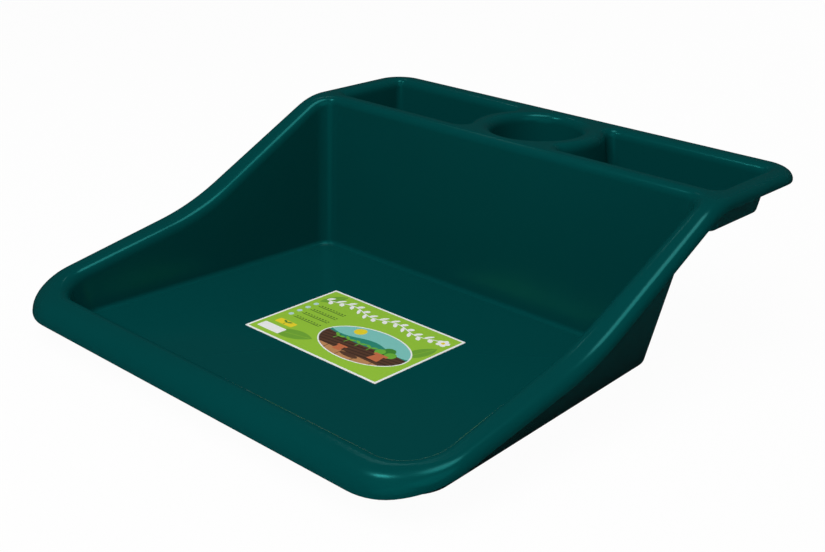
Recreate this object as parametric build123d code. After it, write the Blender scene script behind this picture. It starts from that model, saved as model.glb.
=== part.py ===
from build123d import *
import math
import os

# A potting tray: one thin plastic moulding with a deep basin that opens to a low front lip,
# side rims that climb to the back, and a level rear shelf with two compartments and a round cup.
# A printed paper label is stuck to the basin floor.
# Lengths are in millimetres and angles in degrees. X runs across the tray, Y from front to back
# and Z up. The origin is on the ground, under the middle of the tray.

# Overall sizes
overall_width = 530
overall_depth = 535
shelf_height = 161
wall = 3
basin_draft = 10
pocket_draft = 9

# Side profile of the rim, from the front lip up to the shelf
front_edge_height = 20
front_line_height = 33.5
low_slope = 10.5
steep_slope = 27.1
shelf_length = 148
nose_lean = 10
nose_radius = 18
low_bend_radius = 270
high_bend_radius = 75

# Rim section and its outline seen from above
rim_width = 25
front_rim_width = 34
rim_drop = 9
outer_roll = 8
inner_roll = 7.5
front_corner_radius = 66
rear_corner_radius = 36
nose_margin = 1.5

# Lower edge of the front lip
lip_edge_slope = 22
lip_edge_bend_radius = 100

# Basin
basin_taper = 3.2
basin_rear_corner = 17
basin_front_corner = 36
basin_floor_fillet = 5

# Shelf: compartments, cup and the bars between them
compartment_length = 93
compartment_depth = 42
compartment_corner = 7
compartment_end_corner = 7
pocket_floor_fillet = 4
bar_width = 21
cup_radius = 48
cup_depth = 40
ring_width = 22

# Paper label on the basin floor
label_width = 177
label_length = 120
label_thickness = 0.3
label_side_shift = -14
label_back_shift = 12.5

# Overrun of every cut, and how far in the trim of the skirt reaches
cut_overrun = 2
trim_reach = 9

# What counts as touching, what counts as square on, and the share that names an edge's middle
touch_tolerance = 0.01
angle_tolerance = 1
middle_share = 0.5

front = -overall_depth / 2
rear = overall_depth / 2
half_width = overall_width / 2
pocket_rear = rear - rim_width
pocket_front = pocket_rear - compartment_length
pocket_middle = (pocket_rear + pocket_front) / 2
basin_rear = pocket_front - bar_width
basin_front = front + front_rim_width
above_all = shelf_height + cut_overrun
below_all = -2 * cut_overrun


def slope_of(angle):
    """Rise for each unit of run."""
    return math.tan(math.radians(angle))


def low_line(y):
    """Height of the low rim slope at a place along the tray."""
    return front_line_height + (y - front) * slope_of(low_slope)


def steep_line(y):
    """Height of the steep rim slope, which reaches the shelf's height where the shelf starts."""
    return shelf_height - (rear - shelf_length - y) * slope_of(steep_slope)


def rim_knee():
    """Place along the tray where the low slope meets the steep one."""
    rise = low_line(front) - steep_line(front)
    return front + rise / (slope_of(steep_slope) - slope_of(low_slope))


def rounded(points, radii):
    """A face in the YZ plane from corner points, some of them rounded."""
    face = make_face(Polyline(*points, close=True))
    for index, radius in radii.items():
        place = Vector(*points[index])
        corner = face.vertices().sort_by_distance(place)[0]
        face = fillet(corner, radius)
    return Plane.YZ * face


def crest_profile(inset):
    """Outline of the filled tray seen from the side, shrunk by the inset."""
    nose_top = front + (low_line(front) - front_edge_height) * slope_of(nose_lean)
    knee = rim_knee()
    foot = below_all - 2 * inset
    front_foot = front - (front_edge_height - foot) * slope_of(nose_lean)
    points = [
        (front_foot, foot),
        (nose_top, low_line(nose_top)),
        (knee, low_line(knee)),
        (rear - shelf_length, shelf_height),
        (rear, shelf_height),
        (rear, foot),
    ]
    radii = {1: nose_radius, 2: low_bend_radius, 3: high_bend_radius}
    face = rounded(points, radii)
    if inset:
        face = offset(face, -inset, kind=Kind.INTERSECTION)
    return face


def plan_outline(inset):
    """Outline of the tray seen from above, shrunk by the inset."""
    outline_front = front - nose_margin
    length = rear - outline_front
    sheet = Pos(0, outline_front + length / 2) * Rectangle(overall_width, length)
    ahead = sheet.vertices().group_by(Axis.Y)[0]
    sheet = fillet(ahead, front_corner_radius)
    behind = [corner for corner in sheet.vertices() if rear - corner.Y < touch_tolerance]
    sheet = fillet(behind, rear_corner_radius)
    return offset(sheet, -inset) if inset else sheet


def outline_walls(inset):
    """The upright walls that stand on the plan outline, well above and below the tray."""
    height = above_all - below_all + 2 * inset
    column = extrude(Pos(0, 0, below_all - inset) * plan_outline(inset), amount=height)
    level_limit = math.sin(math.radians(angle_tolerance))
    return [face for face in column.faces() if abs(face.normal_at().Z) < level_limit]


def rim_edges(block, inset):
    """The edges between the block's sides and its top, all the way round the outline."""
    walls = outline_walls(inset)
    upright_limit = math.cos(math.radians(angle_tolerance))
    picked = ShapeList()
    for edge in block.edges():
        middle = edge.position_at(middle_share)
        upright = abs(edge.tangent_at(middle_share).Z) > upright_limit
        at_foot = middle.Z < -cut_overrun
        if upright or at_foot:
            continue
        if min(face.distance_to(Vertex(*middle)) for face in walls) < touch_tolerance:
            picked.append(edge)
    return picked


def filled_block(inset):
    """The tray as a filled block: its side profile cut to its outline, with the rim's outer roll."""
    side = extrude(crest_profile(inset), amount=overall_width, both=True)
    plan = extrude(Pos(0, 0, below_all) * plan_outline(inset), amount=above_all - below_all)
    block = side & plan
    return fillet(rim_edges(block, inset), outer_roll - inset)


def upright_edges(body):
    return [edge for edge in body.edges() if abs(edge.tangent_at(middle_share).Z) > middle_share]


def floor_edges(body):
    return body.faces().sort_by(Axis.Z)[0].edges()


def basin(grow):
    """The basin's hollow, or with some growth the body that its walls and floor enclose."""
    draft = slope_of(basin_draft)
    flare = slope_of(basin_taper)
    side_shift = grow * math.hypot(1, draft, flare)
    end_shift = grow * math.hypot(1, draft)

    def level(z):
        drop = shelf_height - z
        back = basin_rear - drop * draft + end_shift
        ahead = basin_front + (low_line(basin_front) - z) * draft - end_shift
        rear_side = half_width - rim_width - drop * draft + side_shift
        back_side = rear_side + (basin_rear - back) * flare
        ahead_side = rear_side + (basin_rear - ahead) * flare
        corners = [
            (-ahead_side, ahead, z),
            (ahead_side, ahead, z),
            (back_side, back, z),
            (-back_side, back, z),
        ]
        return make_face(Polyline(*corners, close=True))

    body = loft([level(wall - grow), level(above_all)], ruled=True)
    behind = [edge for edge in upright_edges(body) if edge.center().Y > 0]
    body = fillet(behind, basin_rear_corner + grow)
    ahead = [edge for edge in upright_edges(body) if edge.center().Y < 0]
    body = fillet(ahead, basin_front_corner + grow)
    return fillet(floor_edges(body), basin_floor_fillet + grow)


def shelf_cone(radius, lowest, widening):
    """A cone on the cup's axis, given by its radius at the shelf's height, that widens downwards
    or, with a negative widening, narrows downwards."""
    low_radius = radius + (shelf_height - lowest) * widening
    high_radius = radius - (above_all - shelf_height) * widening
    middle = Pos(0, pocket_middle, (above_all + lowest) / 2)
    return middle * Cone(low_radius, high_radius, above_all - lowest)


def compartment(grow):
    """The right compartment, whose inner end follows the ring round the cup."""
    draft = slope_of(pocket_draft)
    shift = grow * math.hypot(1, draft)
    lowest = shelf_height - compartment_depth - grow

    def level(z):
        gain = shift - (shelf_height - z) * draft
        reach = half_width - rim_width + gain
        length = compartment_length + 2 * gain
        return Pos(reach / 2, pocket_middle, z) * Rectangle(reach, length)

    body = loft([level(lowest), level(above_all)], ruled=True)
    body = body - shelf_cone(cup_radius + ring_width - shift, lowest - cut_overrun, draft)
    body = body.solids().sort_by(Axis.X)[-1]
    middle = body.center().X
    outer_end = [edge for edge in upright_edges(body) if edge.center().X > middle]
    body = fillet(outer_end, compartment_corner + grow)
    inner_end = [edge for edge in upright_edges(body) if edge.center().X < middle]
    body = fillet(inner_end, compartment_end_corner + grow)
    return fillet(floor_edges(body), pocket_floor_fillet + grow)


def cup(grow):
    """The round hollow in the middle of the shelf."""
    draft = slope_of(pocket_draft)
    shift = grow * math.hypot(1, draft)
    body = shelf_cone(cup_radius + shift, shelf_height - cup_depth - grow, -draft)
    return fillet(floor_edges(body), pocket_floor_fillet + grow)


def hollows(grow):
    """The basin, the two compartments and the cup."""
    right = compartment(grow)
    return [basin(grow), right, mirror(right, about=Plane.YZ), cup(grow)]


def filled_tray(inset):
    """The block with its hollows and the rolled edges round them, all shrunk by the inset."""
    block = filled_block(inset)
    cuts = hollows(inset)
    hollowed = block
    for cut in cuts:
        hollowed = hollowed - cut
    brims = new_edges(block, *cuts, combined=hollowed)
    return fillet(brims, inner_roll - inset)


def skirt_trim():
    """What is cut away under the rim's outer edge, all the way round, outside the hollows."""
    knee = rim_knee()
    foot = below_all - cut_overrun
    ahead = front - nose_margin - cut_overrun
    behind = rear + cut_overrun
    start_gap = rim_drop - (front_line_height - front_edge_height)
    meeting = front + start_gap / (slope_of(low_slope) - slope_of(lip_edge_slope))
    points = [
        (ahead, foot),
        (ahead, front_edge_height + (ahead - front) * slope_of(lip_edge_slope)),
        (meeting, low_line(meeting) - rim_drop),
        (knee, low_line(knee) - rim_drop),
        (rear - shelf_length, shelf_height - rim_drop),
        (behind, shelf_height - rim_drop),
        (behind, foot),
    ]
    radii = {2: lip_edge_bend_radius, 3: low_bend_radius, 4: high_bend_radius}
    below = extrude(rounded(points, radii), amount=overall_width, both=True)
    core_foot = foot - cut_overrun
    core = extrude(Pos(0, 0, core_foot) * plan_outline(trim_reach), amount=above_all - core_foot)
    return below - core


def tray_moulding():
    """The one thin moulding: the filled tray less the same shape one wall further in."""
    return filled_tray(0) - filled_tray(wall) - skirt_trim()


def paper_label():
    """The printed label, flat on the basin floor."""
    floor_rear = basin_rear - (shelf_height - wall) * slope_of(basin_draft)
    floor_front = basin_front + (low_line(basin_front) - wall) * slope_of(basin_draft)
    label_middle = (floor_rear + floor_front) / 2 + label_back_shift
    place = Pos(label_side_shift, label_middle, wall + label_thickness / 2)
    return place * Box(label_width, label_length, label_thickness)


if __name__ == "__main__":
    os.makedirs("parts", exist_ok=True)
    export_step(tray_moulding(), "parts/tray_moulding.step")
    export_step(paper_label(), "parts/paper_label.step")
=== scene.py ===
import math

import bpy
import numpy as np
from bpy.props import FloatProperty, FloatVectorProperty, IntProperty, PointerProperty
from mathutils import Matrix, Vector
from mathutils.geometry import delaunay_2d_cdt


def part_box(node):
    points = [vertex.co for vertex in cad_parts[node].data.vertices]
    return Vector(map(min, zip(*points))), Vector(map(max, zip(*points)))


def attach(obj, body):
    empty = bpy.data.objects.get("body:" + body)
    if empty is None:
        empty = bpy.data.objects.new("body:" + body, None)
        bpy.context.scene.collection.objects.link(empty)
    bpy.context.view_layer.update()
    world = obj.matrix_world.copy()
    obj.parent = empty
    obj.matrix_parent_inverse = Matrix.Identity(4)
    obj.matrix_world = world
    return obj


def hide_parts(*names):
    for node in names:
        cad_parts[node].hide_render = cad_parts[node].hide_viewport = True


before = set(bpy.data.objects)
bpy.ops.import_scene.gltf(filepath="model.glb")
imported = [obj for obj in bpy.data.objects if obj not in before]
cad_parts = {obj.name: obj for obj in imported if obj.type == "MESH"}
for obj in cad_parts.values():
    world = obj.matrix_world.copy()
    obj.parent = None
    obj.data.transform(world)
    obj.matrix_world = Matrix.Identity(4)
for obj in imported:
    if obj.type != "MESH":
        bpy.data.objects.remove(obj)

bl_info = {
    "name": "Potting Tray",
    "version": (1, 0, 0),
    "blender": (4, 5, 0),
    "location": "View3D > Sidebar > Potting Tray",
    "description": "Makes a moulded plastic potting tray with a printed label, in a plain studio",
    "category": "Add Mesh",
}

# Sizes are in metres. X runs across the tray, Y from the front lip to the rear shelf, Z up.
TRAY_LOW, TRAY_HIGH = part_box("tray_moulding")
LABEL_LOW, LABEL_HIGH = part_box("paper_label")
MILLIMETRE = 0.001

# Name, azimuth and elevation in degrees, width in metres, power in watts of each lamp,
# and whether gloss mirrors it. The azimuth runs from the front lip to the right.
LAMPS = [
    ("Front softbox", 10, 50, 1.6, 23.5, False),
    ("Top softbox", 0, 80, 2.6, 19, False),
    ("Top lamp", -156, 84, 0.8, 4.5, True),
    ("Low softbox", 20, 22, 1.6, 1.4, True),
    ("Rear softbox", 180, 22, 1.6, 10, False),
    ("Right softbox", 60, 50, 1.6, 2.6, True),
    ("Left lamp", -51, 67, 0.3, 2.5, True),
    ("Rear left lamp", -121, 47, 0.12, 0.1, True),
]

# Middle of the bloom on the label, in millimetres from the label's middle
BLOOM_X, BLOOM_Y = 75, 43


# Settings that a user can change

def length(name, description, default):
    """A length in metres."""
    return FloatProperty(
        name=name, description=description, default=default, min=0, unit="LENGTH", precision=4
    )


def angle(name, description, default):
    """An angle, whose default is given in degrees."""
    return FloatProperty(
        name=name, description=description, default=math.radians(default), subtype="ANGLE"
    )


def millimetres(name, description, default):
    """A length of the camera's own parts."""
    return FloatProperty(name=name, description=description, default=default, min=1, unit="CAMERA")


def step_count(name, description, default, lowest):
    """A whole number of steps."""
    return IntProperty(name=name, description=description, default=default, min=lowest)


def colour(name, description, default):
    """A colour, in red, green and blue light."""
    return FloatVectorProperty(
        name=name, description=description, default=default, min=0, max=1, size=3, subtype="COLOR"
    )


def share(name, description, default, highest=1):
    """A share from 0 to 1, or to a given highest value."""
    return FloatProperty(name=name, description=description, default=default, min=0, max=highest)


class TraySizes(bpy.types.PropertyGroup):
    """Sizes of the moulding."""

    wall: length("Wall", "Thickness of the plastic", 0.003)
    low_slope: angle("Low slope", "Climb of the rims from the front lip", 10.5)
    steep_slope: angle("Steep slope", "Climb of the rims up to the shelf", 27.1)
    front_height: length("Front height", "Height of the rims' line at the front", 0.0335)
    front_edge_height: length("Front edge height", "Height of the lip's lower edge", 0.0196)
    front_edge_slope: angle("Front edge slope", "Climb of the lower edge at the front corners", 22)
    shelf_length: length("Shelf length", "Length of the level part at the back", 0.148)
    low_bend: length("Low bend", "Radius where the two slopes meet", 0.270)
    high_bend: length("High bend", "Radius where the rims reach the shelf", 0.075)
    edge_bend: length("Edge bend", "Radius of the lower edge behind the front corners", 0.100)
    rim_width: length("Rim width", "Width of the rims at the sides and the back", 0.025)
    front_rim_width: length("Lip width", "Width of the front lip", 0.034)
    rim_drop: length("Rim drop", "Height of the rims' outer face", 0.0095)
    outer_roll: length("Outer roll", "How far in the rims' outer edge is rounded", 0.011)
    nose_roll: length("Nose roll", "How far in the front lip's outer edge is rounded", 0.018)
    nose_lean: angle("Nose lean", "Draft of the front lip's outer face", 10)
    inner_roll: length("Inner roll", "Radius of the edge round every hollow", 0.0105)
    side_roll: length("Side roll", "Radius of the edge along the basin's sides", 0.0125)
    front_corner: length("Front corner", "Radius of the front corners seen from above", 0.062)
    rear_corner: length("Rear corner", "Radius of the rear corners seen from above", 0.036)
    corner_drop: length("Corner drop", "How much lower the skirt hangs at the corners", 0.0022)
    corner_swell: length("Corner swell", "Extra reach of the roll at the front corners", 0.003)
    face_height: length("Face height", "Height of the flat face left under the roll", 0.001)
    edge_rounding: length("Edge rounding", "Softening of the skirt's cut edge", 0.0007)


class HollowSizes(bpy.types.PropertyGroup):
    """Sizes of the basin, the compartments and the cup."""

    basin_draft: angle("Basin draft", "Lean of the basin's walls", 10)
    basin_taper: angle("Basin taper", "Spread of the basin's sides towards the front", 3.2)
    basin_rear_corner: length("Basin rear corner", "Radius of the basin's rear corners", 0.017)
    basin_front_corner: length("Basin front corner", "Radius of the basin's front corners", 0.036)
    basin_fillet: length("Basin fillet", "Radius between the basin's floor and walls", 0.005)
    pocket_draft: angle("Pocket draft", "Lean of the walls of the compartments and the cup", 9)
    compartment_length: length("Compartment length", "Compartment size from front to back", 0.093)
    compartment_depth: length("Compartment depth", "Depth of the compartments", 0.042)
    compartment_corner: length("Compartment corner", "Radius of the compartments' corners", 0.007)
    pocket_fillet: length("Pocket fillet", "Radius at the floors of the shelf's hollows", 0.004)
    bar_width: length("Bar width", "Width of the bar between the basin and the compartments", 0.021)
    cup_radius: length("Cup radius", "Radius of the cup at the shelf", 0.048)
    cup_depth: length("Cup depth", "Depth of the cup", 0.040)
    ring_width: length("Ring width", "Width of the land round the cup", 0.022)


class LabelSizes(bpy.types.PropertyGroup):
    """Sizes of the printed label."""

    corner: length("Corner", "Radius of the label's corners", 0.001)
    border: length("Border", "Width of the pale border", 0.0025)


class MeshDetail(bpy.types.PropertyGroup):
    """How finely the moulding is divided."""

    spacing: length("Spacing", "Step along straight edges", 0.007)
    corner_steps: step_count("Corner steps", "Steps in each rounded corner", 18, 4)
    roll_steps: step_count("Roll steps", "Steps across the rolls and fillets of the hollows", 8, 3)
    rim_steps: step_count("Rim steps", "Steps across the rims' outer roll", 10, 3)
    wall_steps: step_count("Wall steps", "Steps down each wall", 5, 2)
    edge_steps: step_count("Edge steps", "Steps across the skirt's cut edge", 2, 1)
    edge_angle: angle("Edge angle", "Least turn that counts as a cut edge", 50)
    support: length("Support", "Distance of the extra row beside each roll", 0.0006)
    label_steps: step_count("Label steps", "Steps in each of the label's corners", 6, 2)


class Colours(bpy.types.PropertyGroup):
    """Colours of the plastic and the print."""

    plastic: colour("Plastic", "Deep green of the moulding", (0.0005, 0.0590, 0.0588))
    gloss: colour("Gloss", "Tint of the plastic's shine", (0.02, 1.0, 0.95))
    label_green: colour("Label green", "Ground of the label", (0.330, 0.610, 0.048))
    label_white: colour("Label white", "Border and white print", (0.970, 0.980, 0.960))
    leaf_green: colour("Leaf green", "Dark leaves of the print", (0.060, 0.260, 0.035))
    shoot: colour("Shoot", "Young leaves in the picture", (0.160, 0.480, 0.050))
    ink: colour("Ink", "Seed rows of the print", (0.035, 0.090, 0.020))
    pale_blue: colour("Pale blue", "Dots beside the seed rows", (0.550, 0.780, 0.760))
    sun: colour("Sun", "Yellow of the print", (0.900, 0.720, 0.030))
    sky: colour("Sky", "Sky in the picture", (0.230, 0.620, 0.560))
    hill: colour("Hill", "Hills in the picture", (0.030, 0.270, 0.190))
    soil: colour("Soil", "Soil in the picture", (0.110, 0.050, 0.030))
    furrow: colour("Furrow", "Furrows and gaps in the picture", (0.045, 0.022, 0.015))
    wood: colour("Wood", "Bench in the picture", (0.560, 0.270, 0.110))
    clay: colour("Clay", "Pots in the picture", (0.600, 0.170, 0.070))


class StageSettings(bpy.types.PropertyGroup):
    """The camera, the lights and the floor."""

    camera_place: FloatVectorProperty(
        name="Camera place",
        description="Where the camera stands",
        default=(0.78134, -0.81263, 0.51120),
        subtype="TRANSLATION",
        unit="LENGTH",
    )
    camera_azimuth: angle("Azimuth", "Turn of the camera round the tray", 43.38)
    camera_elevation: angle("Elevation", "How far the camera looks down", 22.179)
    camera_roll: angle("Roll", "Tilt of the camera about its own axis", 0.732)
    camera_lens: millimetres("Lens", "Focal length in millimetres", 55.75)
    camera_sensor: millimetres("Sensor", "Width of the sensor in millimetres", 36)
    lamp_distance: length("Lamp distance", "How far the lamps stand from the tray", 2.2)
    lamp_level: share("Lamp level", "Strength of all the lamps together", 1, 10)
    room_level: share("Room level", "Strength of the light from all round", 0.015, 5)
    floor_reach: length("Floor reach", "Half the width of the floor", 6)
    floor_grey: share("Floor grey", "How much light the floor gives back", 0.75)
    floor_glow: share("Floor glow", "Share of plain white in the floor that the camera sees", 0.97)


# Arithmetic of the shapes, on whole arrays

def unit(vectors):
    """Vectors of length one, along the last axis."""
    return vectors / np.linalg.norm(vectors, axis=-1, keepdims=True)


def half_opening(first_ways, second_ways):
    """Half the angle between ways. Its cosine comes from the product of their directions."""
    return np.arccos(np.clip((unit(first_ways) * unit(second_ways)).sum(-1), -1, 1)) / 2


def bent_line(y, corners, radii):
    """Height along a line of straight runs with a round bend at each inner corner.

    Between the bends the height is that of the run. A bend of radius R between two slopes a and b
    is the circle that touches both runs, R times the tangent of half the turn from the corner.
    """
    corners = np.asarray(corners, float)
    height = np.interp(y, corners[:, 0], corners[:, 1])
    steps = np.diff(corners, axis=0)
    slopes = np.arctan2(steps[:, 1], steps[:, 0])
    first, last = corners[0], corners[-1]
    height = np.where(y < first[0], first[1] + (y - first[0]) * np.tan(slopes[0]), height)
    height = np.where(y > last[0], last[1] + (y - last[0]) * np.tan(slopes[-1]), height)
    for corner, before, after, radius in zip(corners[1:-1], slopes[:-1], slopes[1:], radii):
        turn = after - before
        reach = radius * math.tan(abs(turn) / 2)
        side = math.copysign(1, turn)
        start = corner - reach * np.array([math.cos(before), math.sin(before)])
        end = corner + reach * np.array([math.cos(after), math.sin(after)])
        centre = start + side * radius * np.array([-math.sin(before), math.cos(before)])
        inside = (y > start[0]) & (y < end[0])
        across = np.sqrt(np.maximum(radius**2 - (y - centre[0]) ** 2, 0))
        height = np.where(inside, centre[1] - side * across, height)
    return height


def crest_line(sizes):
    """The rims' height along the tray: a low slope, a steep slope and the level shelf."""
    front, rear, top = TRAY_LOW.y, TRAY_HIGH.y, TRAY_HIGH.z
    low, steep = math.tan(sizes.low_slope), math.tan(sizes.steep_slope)
    shelf_start = rear - sizes.shelf_length
    steep_at_front = top - (shelf_start - front) * steep
    knee = front + (sizes.front_height - steep_at_front) / (steep - low)
    corners = [
        (front, sizes.front_height),
        (knee, sizes.front_height + (knee - front) * low),
        (shelf_start, top),
        (rear, top),
    ]
    return lambda y: bent_line(y, corners, [sizes.low_bend, sizes.high_bend])


def skirt_line(sizes, crest):
    """Height of the skirt's lower edge: parallel to the crest, but lower and steeper in front."""
    front = TRAY_LOW.y
    edge, low = math.tan(sizes.front_edge_slope), math.tan(sizes.low_slope)
    start_gap = sizes.rim_drop - (sizes.front_height - sizes.front_edge_height)
    meeting = front + start_gap / (low - edge)
    meeting_height = sizes.front_edge_height + (meeting - front) * edge
    beyond = meeting + sizes.edge_bend
    corners = [
        (front, sizes.front_edge_height),
        (meeting, meeting_height),
        (beyond, meeting_height + (beyond - meeting) * low),
    ]

    def height(y):
        ahead = bent_line(y, corners, [sizes.edge_bend])
        return np.where(y < beyond, ahead, crest(y) - sizes.rim_drop)

    return height


def directions_at(angles):
    """Directions of length one, whose parts are the cosine and the sine of each angle."""
    return np.stack([np.cos(angles), np.sin(angles)], -1)


def rounded_loop(corners, radii, counts, corner_steps):
    """A closed loop seen from above, from its sharp corners, with points and outward directions.

    A corner of radius R turns about a centre that lies R divided by the sine of half the corner's
    angle from it. Each straight run is divided evenly into as many steps as its count.
    """
    corners = np.asarray(corners, float)
    before = unit(np.roll(corners, 1, axis=0) - corners)
    after = unit(np.roll(corners, -1, axis=0) - corners)
    half = half_opening(before, after)
    radii = np.asarray(radii, float)
    centres = corners + unit(before + after) * (radii / np.sin(half))[:, None]
    starts = np.arctan2(before[:, 0], -before[:, 1])
    turns = math.pi - 2 * half
    shares = np.linspace(0, 1, corner_steps + 1)
    directions = directions_at(starts[:, None] + turns[:, None] * shares)
    arcs = centres[:, None] + radii[:, None, None] * directions
    points, normals = [], []
    for index, count in enumerate(counts):
        start, end = arcs[index, -1], arcs[(index + 1) % len(arcs), 0]
        steps = np.linspace(0, 1, count + 1)[1:-1, None]
        points += [arcs[index], start + (end - start) * steps]
        normals += [directions[index], np.repeat(directions[index, -1:], len(steps), 0)]
    return np.concatenate(points), np.concatenate(normals)


# Meshes

def new_object(name, points, faces, smooth=True):
    """A mesh object at the origin, whose place is in its points."""
    mesh = bpy.data.meshes.new(name)
    mesh.from_pydata(np.asarray(points).tolist(), [], [list(map(int, face)) for face in faces])
    mesh.update()
    mesh.polygons.foreach_set("use_smooth", [smooth] * len(mesh.polygons))
    made = bpy.data.objects.new(name, mesh)
    bpy.context.scene.collection.objects.link(made)
    return made


def strip_faces(rows, columns, start):
    """Four-sided faces between the rows of a closed band whose points begin at a number."""
    row, column = np.meshgrid(np.arange(rows - 1), np.arange(columns), indexing="ij")
    beside = (column + 1) % columns
    first = start + row * columns + column
    second = start + row * columns + beside
    third = second + columns
    fourth = first + columns
    return np.stack([first, second, third, fourth], -1).reshape(-1, 4)


class Skin:
    """The moulding's upper surface, gathered band by band."""

    def __init__(self):
        self.points = np.empty((0, 3))
        self.faces = []

    def add_band(self, rows, flip=False):
        """Adds closed rows that run inwards and down, or outwards and down if flipped.

        Gives the numbers of the first row's points, and of the last row's.
        """
        start, columns = len(self.points), rows.shape[1]
        self.points = np.concatenate([self.points, rows.reshape(-1, 3)])
        faces = strip_faces(rows.shape[0], columns, start)
        self.faces.extend(faces[:, ::-1] if flip else faces)
        numbers = np.arange(start, len(self.points))
        return numbers[:columns], numbers[-columns:]


# Loops of the outline and of the hollows

def outline_loop(sizes, detail):
    """The rims' outer brim, as if its roll were a sharp edge, with its outward directions."""
    lean, low = math.tan(sizes.nose_lean), math.tan(sizes.low_slope)
    setback = (sizes.front_height - sizes.front_edge_height) * lean / (1 - lean * low)
    front, rear = TRAY_LOW.y + setback, TRAY_HIGH.y
    left, right = TRAY_LOW.x, TRAY_HIGH.x
    corners = [(left, front), (right, front), (right, rear), (left, rear)]
    radii = [sizes.front_corner, sizes.front_corner, sizes.rear_corner, sizes.rear_corner]
    across = round((right - left) / detail.spacing)
    along = round((rear - front) / detail.spacing)
    return rounded_loop(corners, radii, [across, along, across, along], detail.corner_steps)


def basin_loop(sizes, hollows, detail, crest, height):
    """The basin's wall at one height: four flat walls that lean outwards as they rise.

    The front wall's place is given at the lip's height, and those of the others at the shelf's.
    """
    rear = TRAY_HIGH.y - sizes.rim_width - hollows.compartment_length - hollows.bar_width
    front = TRAY_LOW.y + sizes.front_rim_width
    draft, taper = math.tan(hollows.basin_draft), math.tan(hollows.basin_taper)
    drop = (TRAY_HIGH.z - height) * draft
    back = rear - drop
    ahead = front + (float(crest(np.array(front))) - height) * draft
    rear_side = TRAY_HIGH.x - sizes.rim_width - drop
    back_side = rear_side + (rear - back) * taper
    ahead_side = rear_side + (rear - ahead) * taper
    corners = [(-ahead_side, ahead), (ahead_side, ahead), (back_side, back), (-back_side, back)]
    radii = [hollows.basin_front_corner] * 2 + [hollows.basin_rear_corner] * 2
    across = round(2 * TRAY_HIGH.x / detail.spacing)
    along = round((rear - front) / detail.spacing)
    return rounded_loop(corners, radii, [across, along, across, along], detail.corner_steps)


def compartment_loop(sizes, hollows, detail, height):
    """The right compartment's wall at one height.

    Its inner end is an arc about the cup's middle. The round corner between that arc and a
    straight wall has its centre one corner radius from both.
    """
    drop = (TRAY_HIGH.z - height) * math.tan(hollows.pocket_draft)
    radius = hollows.compartment_corner
    middle = TRAY_HIGH.y - sizes.rim_width - hollows.compartment_length / 2
    reach = hollows.compartment_length / 2 - drop
    end = TRAY_HIGH.x - sizes.rim_width - drop
    ring = hollows.cup_radius + hollows.ring_width + drop
    corner_x = math.sqrt((ring + radius) ** 2 - (reach - radius) ** 2)
    tilt = math.atan2(reach - radius, corner_x)
    quarter = np.linspace(0, math.pi / 2, detail.corner_steps + 1)
    bend = np.linspace(0, math.pi / 2 + tilt, detail.corner_steps + 1)
    sweep = np.linspace(tilt, -tilt, detail.corner_steps * 2 + 1)[1:-1]
    along = round(hollows.compartment_length / detail.spacing)
    across = round((TRAY_HIGH.x - sizes.rim_width - hollows.cup_radius) / detail.spacing)
    parts = [
        arc_part((end - radius, -reach + radius), radius, quarter - math.pi / 2),
        line_part((end, -reach + radius), (end, reach - radius), along, 0),
        arc_part((end - radius, reach - radius), radius, quarter),
        line_part((end - radius, reach), (corner_x, reach), across, math.pi / 2),
        arc_part((corner_x, reach - radius), radius, bend + math.pi / 2),
        ring_part(ring, sweep),
        arc_part((corner_x, -reach + radius), radius, bend + math.pi - tilt),
        line_part((corner_x, -reach), (end - radius, -reach), across, -math.pi / 2),
    ]
    points = np.concatenate([part[0] for part in parts])
    normals = np.concatenate([part[1] for part in parts])
    return points + np.array([0, middle]), normals


def arc_part(centre, radius, angles):
    """An arc about a centre, with its outward directions."""
    return np.array(centre) + radius * directions_at(angles), directions_at(angles)


def ring_part(radius, angles):
    """An arc about the origin that a hollow goes round, so its outward directions point inwards."""
    return radius * directions_at(angles), -directions_at(angles)


def line_part(start, end, steps, angle_outward):
    """The points between two ends, without the ends, with one outward direction."""
    shares = np.linspace(0, 1, max(steps, 2) + 1)[1:-1, None]
    points = np.array(start) + (np.array(end) - np.array(start)) * shares
    return points, directions_at(np.full(len(shares), angle_outward))


def cup_loop(sizes, hollows, detail, height):
    """The cup's wall at one height: a circle that narrows as it goes down.

    The whole turn has five times as many points as a corner has steps.
    """
    radius = hollows.cup_radius - (TRAY_HIGH.z - height) * math.tan(hollows.pocket_draft)
    middle = TRAY_HIGH.y - sizes.rim_width - hollows.compartment_length / 2
    angles = np.linspace(0, 2 * math.pi, detail.corner_steps * 5, endpoint=False)
    return arc_part((0, middle), radius, angles)


# Bands of the skin

def with_heights(points, heights):
    """Places seen from above, with their heights."""
    return np.concatenate([points, np.broadcast_to(heights, len(points))[:, None]], 1)


def land_ways(points, directions, crest, step):
    """Ways along the land from its points, rising or falling with the crest."""
    ways = directions * step
    rise = crest(points[:, 1] + ways[:, 1]) - crest(points[:, 1])
    return np.concatenate([ways, rise[:, None]], 1)


def rolled(corners, first_ways, first_reach, second_ways, second_reach, steps):
    """Rows of a rounded edge between two ways that leave its sharp corner.

    Each row is a point of the conic that touches the ways at their reaches. With equal reaches it
    is the circle, because the corner's weight is the cosine of half the turn.
    """
    first_ways, second_ways = unit(first_ways), unit(second_ways)
    first = corners + first_ways * np.reshape(first_reach, (-1, 1))
    second = corners + second_ways * np.reshape(second_reach, (-1, 1))
    weight = np.sin(half_opening(first_ways, second_ways))[None, :, None]
    way = np.linspace(0, 1, steps + 1)[:, None, None]
    shares = [(1 - way) ** 2, 2 * way * (1 - way) * weight, way**2]
    return (shares[0] * first + shares[1] * corners + shares[2] * second) / sum(shares)


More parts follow.
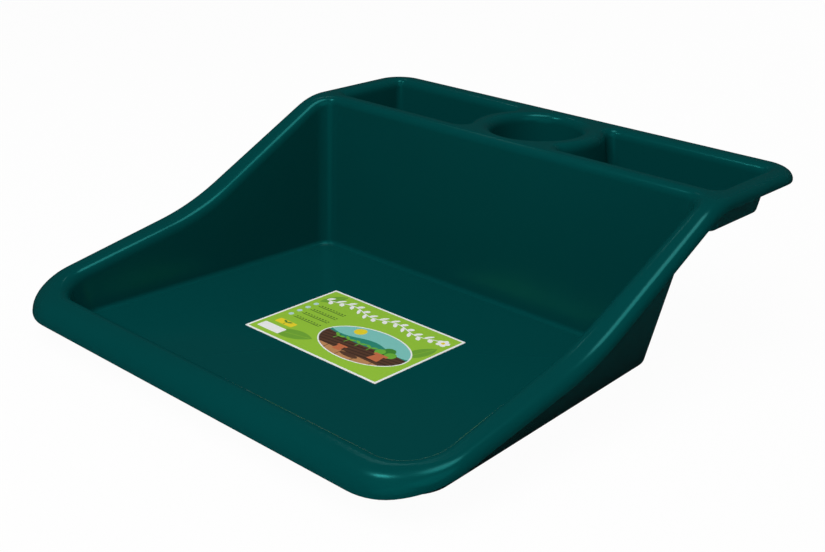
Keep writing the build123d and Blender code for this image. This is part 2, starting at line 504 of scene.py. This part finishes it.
def reach_of(radius, first_ways, second_ways):
    """How far from the sharp corner a circle of a radius touches both ways."""
    return radius / np.tan(half_opening(first_ways, second_ways))


def rim_band(sizes, detail, crest, skirt):
    """The rims' outer edge, all the way round: a row on the land, the roll and the skirt's face.

    At the sides the roll is a quarter circle. Towards the front it grows and the face leans
    forward, in step with how far the outline faces front, and at the corners it swells further.
    """
    points, outward = outline_loop(sizes, detail)
    frontness = np.clip(-outward[:, 1], 0, 1)
    cornerness = (2 * frontness * outward[:, 0]) ** 2
    lean = np.tan(sizes.nose_lean) * frontness**2
    brim = with_heights(points, crest(points[:, 1]))
    inward_ways = land_ways(points, -outward, crest, sizes.outer_roll)
    down_ways = np.concatenate([outward * lean[:, None], -np.ones((len(points), 1))], 1)
    land_reach = sizes.outer_roll + (sizes.nose_roll - sizes.outer_roll) * frontness
    land_reach = land_reach + sizes.corner_swell * cornerness
    face = brim[:, 2] - skirt(points[:, 1] + outward[:, 1] * lean * sizes.rim_drop)
    face = face + sizes.corner_drop * cornerness
    down_reach = np.minimum(land_reach, face - sizes.face_height)
    roll = rolled(brim, inward_ways, land_reach, down_ways, down_reach, detail.rim_steps)
    support = roll[:1] + unit(inward_ways) * detail.support
    edge = brim + down_ways * face[:, None]
    middle = (roll[-1] + edge) / 2
    return np.concatenate([support, roll, middle[None], edge[None]])


def hollow_band(loop_at, rolls, floor, fillet, detail, crest):
    """One hollow's edge and walls: a row on the land, the roll, the wall, the fillet and the floor.

    The wall is followed along the straight line that each of its points takes as the height
    changes. The brim is where that line meets the crest, which each round comes closer to. The
    roll's radius goes from the first to the second with how far the wall faces sideways.
    """
    rounds = 5
    top_points, outward = loop_at(TRAY_HIGH.z)
    low_points, _ = loop_at(floor)
    shift = (top_points - low_points) / (TRAY_HIGH.z - floor)
    heights = TRAY_HIGH.z
    for _ in range(rounds):
        heights = crest(top_points[:, 1] + shift[:, 1] * (heights - TRAY_HIGH.z))
    brim_points = top_points + shift * (heights - TRAY_HIGH.z)[:, None]
    brim = with_heights(brim_points, heights)
    radii = rolls[0] + (rolls[1] - rolls[0]) * np.abs(outward[:, 0])
    outward_ways = land_ways(brim_points, outward, crest, radii[:, None])
    down_ways = np.concatenate([-shift, -np.ones((len(shift), 1))], 1)
    reach = reach_of(radii, outward_ways, down_ways)
    roll = rolled(brim, outward_ways, reach, down_ways, reach, detail.roll_steps)
    support = roll[:1] + unit(outward_ways) * detail.support
    foot = brim + down_ways * (heights - floor)[:, None]
    floor_ways = with_heights(-outward, 0)
    floor_reach = reach_of(fillet, -down_ways, floor_ways)
    round_foot = rolled(foot, -down_ways, floor_reach, floor_ways, floor_reach, detail.roll_steps)
    shares = np.linspace(0, 1, detail.wall_steps + 1)[1:-1, None, None]
    wall = roll[-1] + (round_foot[0] - roll[-1]) * shares
    upper = roll[-1:] + unit(down_ways) * detail.support
    lower = round_foot[:1] - unit(down_ways) * detail.support
    inner = round_foot[-1:] + floor_ways * detail.support
    return np.concatenate([support, roll, upper, wall, lower, round_foot, inner])


def mirrored(band):
    """The same band on the other side of the tray, with its points in the opposite order."""
    return (band * np.array([-1, 1, 1]))[:, ::-1]


def tray_bands(sizes, hollows, detail):
    """The rim's band and the four hollows' bands."""
    crest = crest_line(sizes)
    top, roll = TRAY_HIGH.z, sizes.inner_roll
    rim = rim_band(sizes, detail, crest, skirt_line(sizes, crest))
    basin = hollow_band(
        lambda height: basin_loop(sizes, hollows, detail, crest, height),
        (roll, sizes.side_roll), TRAY_LOW.z + sizes.wall, hollows.basin_fillet, detail, crest,
    )
    right = hollow_band(
        lambda height: compartment_loop(sizes, hollows, detail, height),
        (roll, roll), top - hollows.compartment_depth, hollows.pocket_fillet, detail, crest,
    )
    cup = hollow_band(
        lambda height: cup_loop(sizes, hollows, detail, height),
        (roll, roll), top - hollows.cup_depth, hollows.pocket_fillet, detail, crest,
    )
    return rim, [basin, right, mirrored(right), cup]


def land_faces(skin_points, outer, holes):
    """Triangles of the land, seen from above: inside the outer row and outside the holes' rows."""
    merge_distance = 1e-9
    rows = [list(map(int, row)) for row in [outer, *holes]]
    numbers = [number for row in rows for number in row]
    places = [Vector(place) for place in skin_points[numbers, :2].tolist()]
    local, start = [], 0
    for row in rows:
        local.append(list(range(start, start + len(row))))
        start += len(row)
    _, _, triangles, kept_points, _, kept_faces = delaunay_2d_cdt(
        places, [], local, 0, merge_distance, True
    )
    back = [numbers[found[0]] for found in kept_points]
    return [
        [back[corner] for corner in triangle]
        for triangle, owners in zip(triangles, kept_faces)
        if owners == [0]
    ]


def build_tray(name, sizes, hollows, detail):
    """The moulding's upper skin, given its wall underneath and a softened edge."""
    rim, hollow_bands = tray_bands(sizes, hollows, detail)
    skin = Skin()
    outer, _ = skin.add_band(rim, flip=True)
    holes = []
    for band in hollow_bands:
        brim, floor = skin.add_band(band)
        holes.append(brim)
        skin.faces.append(floor)
    skin.faces.extend(land_faces(skin.points, outer, holes))
    tray = new_object(name, skin.points, skin.faces)
    thicken = tray.modifiers.new("Wall", "SOLIDIFY")
    thicken.thickness = sizes.wall
    thicken.offset = -1
    thicken.use_even_offset = True
    soften = tray.modifiers.new("Edge", "BEVEL")
    soften.width = sizes.edge_rounding
    soften.segments = detail.edge_steps
    soften.limit_method = "ANGLE"
    soften.angle_limit = detail.edge_angle
    return tray


def build_label(name, label, detail):
    """A thin sheet with rounded corners, its sides dropping to the basin floor."""
    low, high = LABEL_LOW, LABEL_HIGH
    side_steps = 2
    corners = [(low.x, low.y), (high.x, low.y), (high.x, high.y), (low.x, high.y)]
    outline, _ = rounded_loop(corners, [label.corner] * 4, [side_steps] * 4, detail.label_steps)
    count = len(outline)
    points = np.concatenate([with_heights(outline, low.z), with_heights(outline, high.z)])
    sides = strip_faces(2, count, 0)
    faces = [*sides, np.arange(count, 2 * count), np.arange(count)[::-1]]
    return new_object(name, points, faces, smooth=False)


# Materials

class Value:
    """A value that runs between nodes. Sums on numbers add Math nodes."""

    def __init__(self, graph, socket):
        self.graph = graph
        self.socket = socket

    def maths(self, operation, *values):
        return self.graph.node("ShaderNodeMath", {"operation": operation}, list(values))

    def __add__(self, other):
        return self.maths("ADD", self, other)

    def __sub__(self, other):
        return self.maths("SUBTRACT", self, other)

    def __rsub__(self, other):
        return self.maths("SUBTRACT", other, self)

    def __mul__(self, other):
        return self.maths("MULTIPLY", self, other)

    __radd__ = __add__
    __rmul__ = __mul__

    def least(self, other):
        return self.maths("MINIMUM", self, other)

    def most(self, other):
        return self.maths("MAXIMUM", self, other)

    def sine(self):
        return self.maths("SINE", self)


class Graph:
    """The nodes of one new material."""

    def __init__(self, name):
        self.material = bpy.data.materials.new(name)
        self.material.use_nodes = True
        self.tree = self.material.node_tree
        self.tree.nodes.clear()

    def node(self, kind, settings, values, output=0):
        """A node with its settings and its sockets' values or links. Gives one of its outputs."""
        made = self.tree.nodes.new(kind)
        for name, setting in settings.items():
            setattr(made, name, setting)
        places = values.items() if isinstance(values, dict) else enumerate(values)
        for place, value in places:
            socket = made.inputs[place]
            if isinstance(value, Value):
                self.tree.links.new(value.socket, socket)
            elif value is not None:
                socket.default_value = (*value, 1) if socket.type == "RGBA" else value
        return Value(self, made.outputs[output])

    def mix(self, amount, first, second):
        """A colour between two colours."""
        settings = {"data_type": "RGBA"}
        sockets = {"Factor": amount, 6: first, 7: second}
        return self.node("ShaderNodeMix", settings, sockets, 2)

    def place(self):
        """Where a point of the surface is, in metres."""
        return self.node("ShaderNodeTexCoord", {}, {}, "Object")

    def axis(self, spot, name):
        """One of the three values of a place."""
        return self.node("ShaderNodeSeparateXYZ", {}, [spot], name)

    def vector(self, operation, *values):
        """Arithmetic on places. A length or a distance comes out as one number."""
        output = "Value" if operation in ("LENGTH", "DISTANCE") else "Vector"
        return self.node("ShaderNodeVectorMath", {"operation": operation}, list(values), output)

    def noise(self, spot, scale):
        """Smooth noise from 0 to 1, with about as many patches in a metre as its scale."""
        sockets = {"Vector": spot, "Scale": scale, "Detail": 2}
        return self.node("ShaderNodeTexNoise", {}, sockets, "Fac")

    def bump(self, relief, strength, height, under=None):
        """The surface's direction, tilted by a relief of a height in metres."""
        sockets = {"Strength": strength, "Distance": height, "Height": relief, "Normal": under}
        return self.node("ShaderNodeBump", {}, sockets)

    def finish(self, shader):
        """The material, whose surface is the shader."""
        output = self.tree.nodes.new("ShaderNodeOutputMaterial")
        self.tree.links.new(shader.socket, output.inputs["Surface"])
        return self.material


def plastic_material(colours):
    """Glossy moulded plastic: one deep green with a very slight waviness."""
    graph = Graph("Green plastic")
    spot = graph.place()
    drift = 0.06
    darker = tuple(part * (1 - drift) for part in colours.plastic)
    paler = tuple(part * (1 + drift) for part in colours.plastic)
    waves = graph.noise(spot, scale=14)
    cloud = graph.noise(spot, scale=5)
    shader = graph.node(
        "ShaderNodeBsdfPrincipled",
        {},
        {
            "Base Color": graph.mix(cloud, darker, paler),
            "Roughness": 0.17 + 0.03 * cloud,
            "IOR": 1.5,
            "Specular Tint": colours.gloss,
            "Normal": graph.bump(waves, strength=0.12, height=0.0004),
        },
    )
    return graph.finish(shader)


class Print:
    """Masks of printed shapes, from 0 to 1, on a place in millimetres from the label's middle.

    The edge is how wide a shape's border fades, and far is half a period for what doesn't repeat.
    """

    edge = 0.25
    far = 1000

    def __init__(self, graph, place):
        self.graph = graph
        self.place = place

    def within(self, distance, limit, scale=1):
        """Covered where a distance is under its limit. The scale turns both into millimetres."""
        steepness = scale / self.edge
        settings = {"operation": "MULTIPLY_ADD", "use_clamp": True}
        values = [distance, -steepness, limit * steepness + 0.5]
        return self.graph.node("ShaderNodeMath", settings, values)

    def turned(self, x, y, degrees=0, wide=1, high=1):
        """The same paper from a new middle, turned, and in shares of a width and a height."""
        values = [self.place, (x, y, 0), (0, 0, math.radians(degrees)), (wide, high, 1)]
        place = self.graph.node("ShaderNodeMapping", {"vector_type": "TEXTURE"}, values)
        return Print(self.graph, place)

    def repeated(self, across=0, along=0):
        """The same paper, whose place starts again every period across, along or both."""
        half = (across / 2 or self.far, along / 2 or self.far, self.far)
        ends = [half, tuple(-value for value in half)]
        return Print(self.graph, self.graph.vector("WRAP", self.place, *ends))

    def straightened(self, swing, period):
        """The same paper with a sine wave along it pulled straight."""
        x = self.graph.axis(self.place, "X")
        rise = (x * (2 * math.pi / period)).sine() * swing
        lift = self.graph.node("ShaderNodeCombineXYZ", {}, {"Y": rise})
        return Print(self.graph, self.graph.vector("SUBTRACT", self.place, lift))

    def disc(self, x, y, radius):
        """Inside where the distance from the middle is under the radius."""
        return self.within(self.graph.vector("DISTANCE", self.place, (x, y, 0)), radius)

    def oval(self, x, y, wide, high):
        """A disc of radius one, on paper in shares of the oval's half width and half height."""
        middle = self.turned(x, y, 0, wide, high)
        return self.within(self.graph.vector("LENGTH", middle.place), 1, high)

    def leaf(self, x, y, size, wide, degrees):
        """The overlap of two discs, which comes to a point at both ends."""
        radius = (size * size + wide * wide) / (4 * wide)
        middle = self.turned(x, y, degrees)
        offset = radius - wide / 2
        return middle.disc(0, -offset, radius).least(middle.disc(0, offset, radius))

    def block(self, x, y, wide, high, corner=0.5):
        """Inside where the way past a smaller rectangle is shorter than the corner's radius."""
        graph = self.graph
        away = graph.vector("ABSOLUTE", graph.vector("SUBTRACT", self.place, (x, y, 0)))
        past = graph.vector("SUBTRACT", away, (wide / 2 - corner, high / 2 - corner, 0))
        outside = graph.vector("MAXIMUM", past, (0, 0, 0))
        return self.within(graph.vector("LENGTH", outside), corner)

    def below(self, height, swing=0, period=1, start=0):
        """Under a height that may swing like a sine along the label."""
        x, y = self.graph.axis(self.place, "X"), self.graph.axis(self.place, "Y")
        if swing:
            y = y - ((x - start) * (2 * math.pi / period)).sine() * swing
        return self.within(y, height)


def joined(masks):
    """Covered where any of the masks is."""
    whole = masks[0]
    for mask in masks[1:]:
        whole = whole.most(mask)
    return whole


def vine(paper):
    """A winding stem with leaves in pairs, along the label's far side."""
    middle = paper.turned(0, 41).straightened(swing=3.5, period=60)
    stem = middle.block(-4, 0, 148, 1.3)
    pairs = middle.repeated(across=12)
    leaves = joined([pairs.leaf(-3, 3.9, 9, 4.4, 50), pairs.leaf(3, -3.9, 9, 4.4, -50)])
    stretch = middle.block(-6, 0, 144, 18)
    return joined([leaves * stretch, stem])


def petals(paper, count=5, first=18, reach=4.2, radius=2.9):
    """Round petals about the bloom's middle, evenly turned from the first one's angle."""
    discs = []
    for petal in range(count):
        turn = math.radians(first + 360 / count * petal)
        x, y = BLOOM_X + reach * math.cos(turn), BLOOM_Y + reach * math.sin(turn)
        discs.append(paper.disc(x, y, radius))
    return joined(discs)


def sprig(paper, x, y, size, lean=0):
    """Two leaves that open from the top of a short stem, in shares of the sprig's size."""
    stem = paper.turned(x, y, lean)
    return joined([
        stem.block(0, size * 0.35, size * 0.12, size * 0.7, 0.1),
        stem.leaf(size * 0.36, size * 0.82, size * 0.86, size * 0.36, 24),
        stem.leaf(-size * 0.36, size * 0.82, size * 0.86, size * 0.36, 156),
    ])


def pot(paper, x, y, size):
    """A plant pot, in shares of its size: a body that narrows downwards, under a wider rim."""
    body = paper.block(x, y - size * 0.02, size * 0.76, size * 0.72, 0.4)
    left = paper.turned(x - size * 0.34, y, -9).block(size * 0.5, 0, size, size * 2, 0.2)
    right = paper.turned(x + size * 0.34, y, 9).block(-size * 0.5, 0, size, size * 2, 0.2)
    rim = paper.block(x, y + size * 0.36, size * 0.96, size * 0.22, 0.4)
    return (body * left * right).most(rim)


def garden_picture(paper, colours):
    """An oval view of a garden bed, in layers from the sky to the pots in front."""
    x, y = 26, -12
    window = paper.oval(x, y, 51.5, 32)
    bed = paper.below(y + 1, 2.5, 96, 40)
    rows = paper.turned(0, 0, 7).repeated(along=5).block(0, 0, 400, 1.6, 0.6)
    bench = paper.below(y - 21)
    scene = [
        (paper.disc(x - 24, y + 19, 6.5), colours.sun),
        (paper.below(y + 8, 4, 74, 10), colours.hill),
        (bed, colours.soil),
        (bed * rows, colours.furrow),
        (bench, colours.wood),
        (bench * paper.repeated(across=19).block(0, y - 31, 0.8, 22, 0.1), colours.furrow),
    ]
    seedlings = [
        sprig(paper, x + place, y - 6 + place * 0.05, 9.5, place * 0.3)
        for place in (-34, -20, -6, 8)
    ]
    scene += [
        (joined(seedlings), colours.shoot),
        (paper.disc(x + 26, y + 6, 7.2), colours.leaf_green),
        (joined([paper.disc(x + 33, y + 1, 6), paper.disc(x + 20, y + 1, 5.4)]), colours.shoot),
        (joined([pot(paper, x + 26, y - 10, 17), pot(paper, x - 14, y - 19, 13)]), colours.clay),
        (paper.oval(x + 4, y - 24, 11, 3.4), colours.soil),
    ]
    rim = [(paper.oval(x, y, 53, 33.5), colours.label_white), (window, colours.sky)]
    return rim + [(mask * window, tint) for mask, tint in scene]


def label_layers(paper, label, colours):
    """Masks and colours of the print, from the paper up."""
    sides = (LABEL_HIGH - LABEL_LOW) / MILLIMETRE
    borders = 2 * label.border / MILLIMETRE
    ground = paper.block(0, 0, sides.x - borders, sides.y - borders, 0.8)
    places = [(-40, -42, 44, 14), (-72, 42, 30, 62), (74, 12, 38, 72)]
    leaves = joined([paper.leaf(x, y, size, size * 0.42, turn) for x, y, size, turn in places])
    veins = joined([
        paper.turned(x, y, turn).block(0, 0, size * 0.86, 0.7, 0.1) for x, y, size, turn in places
    ])
    rows = paper.repeated(along=11)
    block = paper.block(-56, 5.5, 60, 44)
    seeds = rows.repeated(across=4, along=11).oval(0, 0.6, 1.1, 0.9) * rows.block(-53, 0, 36, 6)
    return [
        (ground, colours.label_green),
        (leaves * ground * 0.55, colours.leaf_green),
        (veins * ground * 0.8, colours.label_green),
        (joined([vine(paper), petals(paper)]), colours.label_white),
        (paper.disc(BLOOM_X, BLOOM_Y, 2.2), colours.sun),
        (rows.disc(-77, 0, 2.8) * block, colours.pale_blue),
        (joined([seeds, rows.block(-53, -2.2, 36, 1.0, 0.2)]) * block, colours.ink),
        (paper.block(-64, -29, 24, 9, 1.5), colours.sun),
        (sprig(paper, -64, -33, 7.5), colours.leaf_green),
        (paper.block(-66, -45.5, 30, 12, 1.5), colours.label_white),
        *garden_picture(paper, colours),
    ]


def label_material(label, colours):
    """A printed sheet: layers of ink one over the other, with a slight sheen and faint fibres."""
    graph = Graph("Printed label")
    spot = graph.place()
    middle = (LABEL_LOW + LABEL_HIGH) / 2
    away = graph.vector("SUBTRACT", spot, tuple(middle))
    paper = Print(graph, graph.vector("MULTIPLY", away, (1 / MILLIMETRE, 1 / MILLIMETRE, 0)))
    colour = colours.label_white
    for mask, tint in label_layers(paper, label, colours):
        colour = graph.mix(mask, colour, tint)
    fibres = graph.noise(spot, scale=700)
    waves = graph.noise(spot, scale=22)
    wavy = graph.bump(waves, strength=0.2, height=0.0005)
    fine = graph.bump(fibres, strength=0.05, height=0.0001, under=wavy)
    shader = graph.node(
        "ShaderNodeBsdfPrincipled",
        {},
        {"Base Color": colour, "Roughness": 0.38 + 0.08 * fibres, "IOR": 1.45, "Normal": fine},
    )
    return graph.finish(shader)


def floor_material(wanted):
    """A pale floor that the camera sees as white, with a faint shadow."""
    graph = Graph("Pale floor")
    paint = graph.node("ShaderNodeBsdfDiffuse", {}, {"Color": [wanted.floor_grey] * 3})
    glow = graph.node("ShaderNodeEmission", {}, {"Color": (1, 1, 1), "Strength": 1.0})
    rays = graph.node("ShaderNodeLightPath", {}, {}, "Is Camera Ray")
    shader = graph.node("ShaderNodeMixShader", {}, [rays * wanted.floor_glow, paint, glow])
    return graph.finish(shader)


# Operators

def settings():
    """The settings of the open scene."""
    return bpy.context.scene.potting_tray


def dress(piece, material, node):
    """Gives a piece its material and its body, and hides the node that it stands for."""
    piece.data.materials.append(material)
    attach(piece, "root")
    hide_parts(node)


class MakeTray(bpy.types.Operator):
    """Make the plastic moulding"""

    bl_idname = "potting_tray.moulding"
    bl_label = "Tray Moulding"

    def execute(self, context):
        wanted = settings()
        tray = build_tray("tray_shell", wanted.tray, wanted.hollows, wanted.detail)
        dress(tray, plastic_material(wanted.colours), "tray_moulding")
        return {"FINISHED"}


class MakeLabel(bpy.types.Operator):
    """Make the printed label on the basin floor"""

    bl_idname = "potting_tray.label"
    bl_label = "Printed Label"

    def execute(self, context):
        wanted = settings()
        label = build_label("floor_label", wanted.label, wanted.detail)
        dress(label, label_material(wanted.label, wanted.colours), "paper_label")
        return {"FINISHED"}


class MakeStage(bpy.types.Operator):
    """Make the floor, the lights and the camera"""

    bl_idname = "potting_tray.stage"
    bl_label = "Studio"

    def execute(self, context):
        wanted = settings().stage
        make_floor(wanted)
        make_camera(wanted)
        make_lights(wanted)
        make_world(wanted)
        context.scene.view_settings.view_transform = "Standard"
        return {"FINISHED"}


def make_floor(wanted):
    """A level square under the tray, which gloss doesn't mirror."""
    reach = wanted.floor_reach
    points = [(-reach, -reach, 0), (reach, -reach, 0), (reach, reach, 0), (-reach, reach, 0)]
    floor = new_object("studio_floor", points, [[0, 1, 2, 3]], smooth=False)
    floor.data.materials.append(floor_material(wanted))
    floor.visible_glossy = False


def facing(azimuth, elevation):
    """The way at an azimuth from the tray's front, to the right, and an elevation."""
    flat = math.cos(elevation)
    return math.sin(azimuth) * flat, -math.cos(azimuth) * flat, math.sin(elevation)


def make_camera(wanted):
    """A camera at its place, which looks back along its azimuth and elevation, and is rolled."""
    back = Vector(facing(wanted.camera_azimuth, wanted.camera_elevation))
    right = Vector((0, 0, 1)).cross(back).normalized()
    level = Matrix((right, back.cross(right), back)).transposed()
    turn = level @ Matrix.Rotation(wanted.camera_roll, 3, "Z")
    data = bpy.data.cameras.new("Camera")
    data.sensor_width = wanted.camera_sensor
    data.lens = wanted.camera_lens
    camera = bpy.data.objects.new("Camera", data)
    bpy.context.scene.collection.objects.link(camera)
    camera.matrix_world = Matrix.Translation(Vector(wanted.camera_place)) @ turn.to_4x4()
    bpy.context.scene.camera = camera


def make_lamp(name, azimuth, elevation, size, power, mirrored, wanted):
    """A round soft light at an azimuth and an elevation, that faces the tray's middle."""
    way = Vector(facing(math.radians(azimuth), math.radians(elevation)))
    data = bpy.data.lights.new(name, "AREA")
    data.shape = "DISK"
    data.size = size
    data.energy = power * wanted.lamp_level
    lamp = bpy.data.objects.new(name, data)
    lamp.location = way * wanted.lamp_distance + Vector((0, 0, TRAY_HIGH.z / 2))
    lamp.rotation_euler = (-way).to_track_quat("-Z", "Y").to_euler()
    lamp.visible_glossy = mirrored
    bpy.context.scene.collection.objects.link(lamp)


def make_lights(wanted):
    """All the lamps of the studio."""
    for lamp in LAMPS:
        make_lamp(*lamp, wanted)


def make_world(wanted):
    """A dim room, which the camera sees as white."""
    world = bpy.data.worlds.new("Studio")
    world.use_nodes = True
    tree = world.node_tree
    rays = tree.nodes.new("ShaderNodeLightPath")
    level = tree.nodes.new("ShaderNodeMapRange")
    level.inputs["To Min"].default_value = wanted.room_level
    level.inputs["To Max"].default_value = 1
    background = tree.nodes["Background"]
    background.inputs["Color"].default_value = (1, 1, 1, 1)
    tree.links.new(rays.outputs["Is Camera Ray"], level.inputs["Value"])
    tree.links.new(level.outputs["Result"], background.inputs["Strength"])
    bpy.context.scene.world = world


class TrayPanel(bpy.types.Panel):
    """Buttons and sizes in the 3D view's sidebar"""

    bl_idname = "POTTING_TRAY_PT_sidebar"
    bl_label = "Potting Tray"
    bl_space_type = "VIEW_3D"
    bl_region_type = "UI"
    bl_category = "Potting Tray"

    def draw(self, context):
        for operator in OPERATORS:
            self.layout.operator(operator.bl_idname)
        for group in PottingTraySettings.__annotations__:
            values = getattr(settings(), group)
            box = self.layout.box()
            for name in values.__annotations__:
                box.prop(values, name)


class PottingTraySettings(bpy.types.PropertyGroup):
    """Everything that a user can change."""

    tray: PointerProperty(type=TraySizes)
    hollows: PointerProperty(type=HollowSizes)
    label: PointerProperty(type=LabelSizes)
    detail: PointerProperty(type=MeshDetail)
    colours: PointerProperty(type=Colours)
    stage: PointerProperty(type=StageSettings)


OPERATORS = [MakeTray, MakeLabel, MakeStage]
CLASSES = [
    TraySizes, HollowSizes, LabelSizes, MeshDetail, Colours, StageSettings,
    PottingTraySettings, *OPERATORS, TrayPanel,
]


def register():
    """Adds the classes, and the settings to every scene."""
    for made in CLASSES:
        bpy.utils.register_class(made)
    bpy.types.Scene.potting_tray = PointerProperty(type=PottingTraySettings)


def unregister():
    """Takes the settings and the classes out again."""
    del bpy.types.Scene.potting_tray
    for made in reversed(CLASSES):
        bpy.utils.unregister_class(made)


def main():
    """Makes the tray, its label and the studio."""
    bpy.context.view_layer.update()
    register()
    bpy.ops.potting_tray.moulding()
    bpy.ops.potting_tray.label()
    bpy.ops.potting_tray.stage()


if __name__ == "__main__":
    main()
